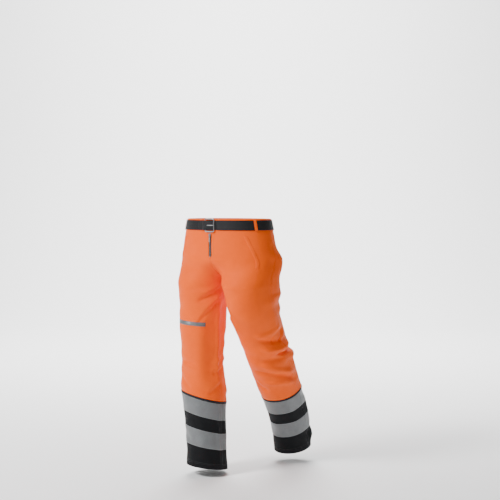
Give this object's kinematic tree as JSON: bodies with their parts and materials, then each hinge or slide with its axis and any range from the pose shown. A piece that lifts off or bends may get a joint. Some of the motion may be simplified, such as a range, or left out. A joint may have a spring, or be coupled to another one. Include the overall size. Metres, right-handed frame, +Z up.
{
  "type": "chainsaw protective trousers",
  "caption": "Orange protective over-trousers for chainsaw work with dark cuffs, reflective bands, quilted cut-protection layers, belt and zip fly.",
  "frame": {"origin": "centre of the waist opening in the plane of the waistband's top rim", "axes": "+Z up the wearer, -Y the way the wearer faces, +X towards the wearer's left"},
  "size_m": [0.4168, 0.6097, 1.0162],
  "materials": {
    "orange_cloth": "matt woven polyester-cotton, fluorescent orange",
    "charcoal_cloth": "matt hard-wearing weave, charcoal",
    "binding": "black ribbed binding",
    "reflective": "grey glass-bead reflective tape, satin",
    "quilt": "stitched layers of loose cut-protection fibre",
    "lining": "fine mesh lining",
    "elastic": "ribbed elastic",
    "webbing": "woven belt webbing",
    "zip_tape": "woven zip tape with a moulded coil",
    "steel": "satin"
  },
  "bodies": {
    "hips": {"waistband": "orange_cloth", "waist_elastic": "elastic", "belt_webbing": "webbing", "belt_loop_1": "orange_cloth", "belt_loop_2": "orange_cloth", "belt_loop_3": "orange_cloth", "belt_loop_4": "orange_cloth", "belt_loop_5": "orange_cloth", "belt_buckle_frame": "steel", "front_rise_right": "orange_cloth", "front_rise_left": "orange_cloth", "seat_right": "orange_cloth", "seat_left": "orange_cloth", "crotch_gusset": "orange_cloth", "fly_zip_chain": "zip_tape", "fly_zip_guard": "orange_cloth", "hand_pocket_welt_right": "orange_cloth", "hand_pocket_welt_left": "orange_cloth", "hand_pocket_bag_right": "lining", "hand_pocket_bag_left": "lining", "back_pocket_patch": "orange_cloth"},
    "buckle_prong": {"belt_buckle_prong": "steel"},
    "fly_slider": {"fly_slider": "steel"},
    "fly_pull": {"fly_pull": "steel"},
    "back_pocket_flap": {"back_pocket_flap": "orange_cloth", "back_pocket_stud": "steel"},
    "right_thigh": {"thigh_front_right": "orange_cloth", "thigh_back_right": "orange_cloth", "thigh_cut_pad_right": "quilt", "thigh_lining_right": "lining", "thigh_strip_right": "reflective"},
    "right_shin": {"lower_leg_front_right": "orange_cloth", "lower_leg_back_right": "orange_cloth", "cuff_front_right": "charcoal_cloth", "cuff_back_right": "charcoal_cloth", "shin_cut_pad_right": "quilt", "shin_lining_right": "lining", "cuff_binding_right": "binding", "reflective_band_upper_right": "reflective", "reflective_band_lower_right": "reflective"},
    "left_thigh": {"thigh_front_left": "orange_cloth", "thigh_back_left": "orange_cloth", "thigh_cut_pad_left": "quilt", "thigh_lining_left": "lining"},
    "left_shin": {"lower_leg_front_left": "orange_cloth", "lower_leg_back_left": "orange_cloth", "cuff_front_left": "charcoal_cloth", "cuff_back_left": "charcoal_cloth", "shin_cut_pad_left": "quilt", "shin_lining_left": "lining", "cuff_binding_left": "binding", "reflective_band_upper_left": "reflective", "reflective_band_lower_left": "reflective"}
  },
  "joints": [
    {"name": "right_hip", "type": "hinge", "parent": "hips", "child": "right_thigh", "pos_m": [-0.108, 0.0075, -0.125], "axis": [-1, 0, 0], "range_deg": [-20, 55]},
    {"name": "left_hip", "type": "hinge", "parent": "hips", "child": "left_thigh", "pos_m": [0.108, 0.0075, -0.125], "axis": [-1, 0, 0], "range_deg": [-5, 50]},
    {"name": "right_knee", "type": "hinge", "parent": "right_thigh", "child": "right_shin", "pos_m": [-0.1087, -0.02852, -0.52054], "axis": [1, 0, 0], "range_deg": [0, 60]},
    {"name": "left_knee", "type": "hinge", "parent": "left_thigh", "child": "left_shin", "pos_m": [0.1026, 0.11366, -0.51107], "axis": [1, 0, 0], "range_deg": [-10, 45]},
    {"name": "buckle_prong", "type": "hinge", "parent": "hips", "child": "buckle_prong", "pos_m": [-0.0204, -0.1346, -0.024], "axis": [0, 0, -1], "range_deg": [0, 120]},
    {"name": "fly_zip", "type": "slide", "parent": "hips", "child": "fly_slider", "axis": [0, 0, -1], "range_m": [0, 0.076]},
    {"name": "fly_pull", "type": "hinge", "parent": "fly_slider", "child": "fly_pull", "pos_m": [0, -0.135, -0.064], "axis": [-1, 0, 0], "range_deg": [0, 100]},
    {"name": "back_pocket_flap", "type": "hinge", "parent": "hips", "child": "back_pocket_flap", "pos_m": [-0.12023, 0.11632, -0.072], "axis": [0.8764, 0.4815, 0], "range_deg": [0, 95]}
  ]
}
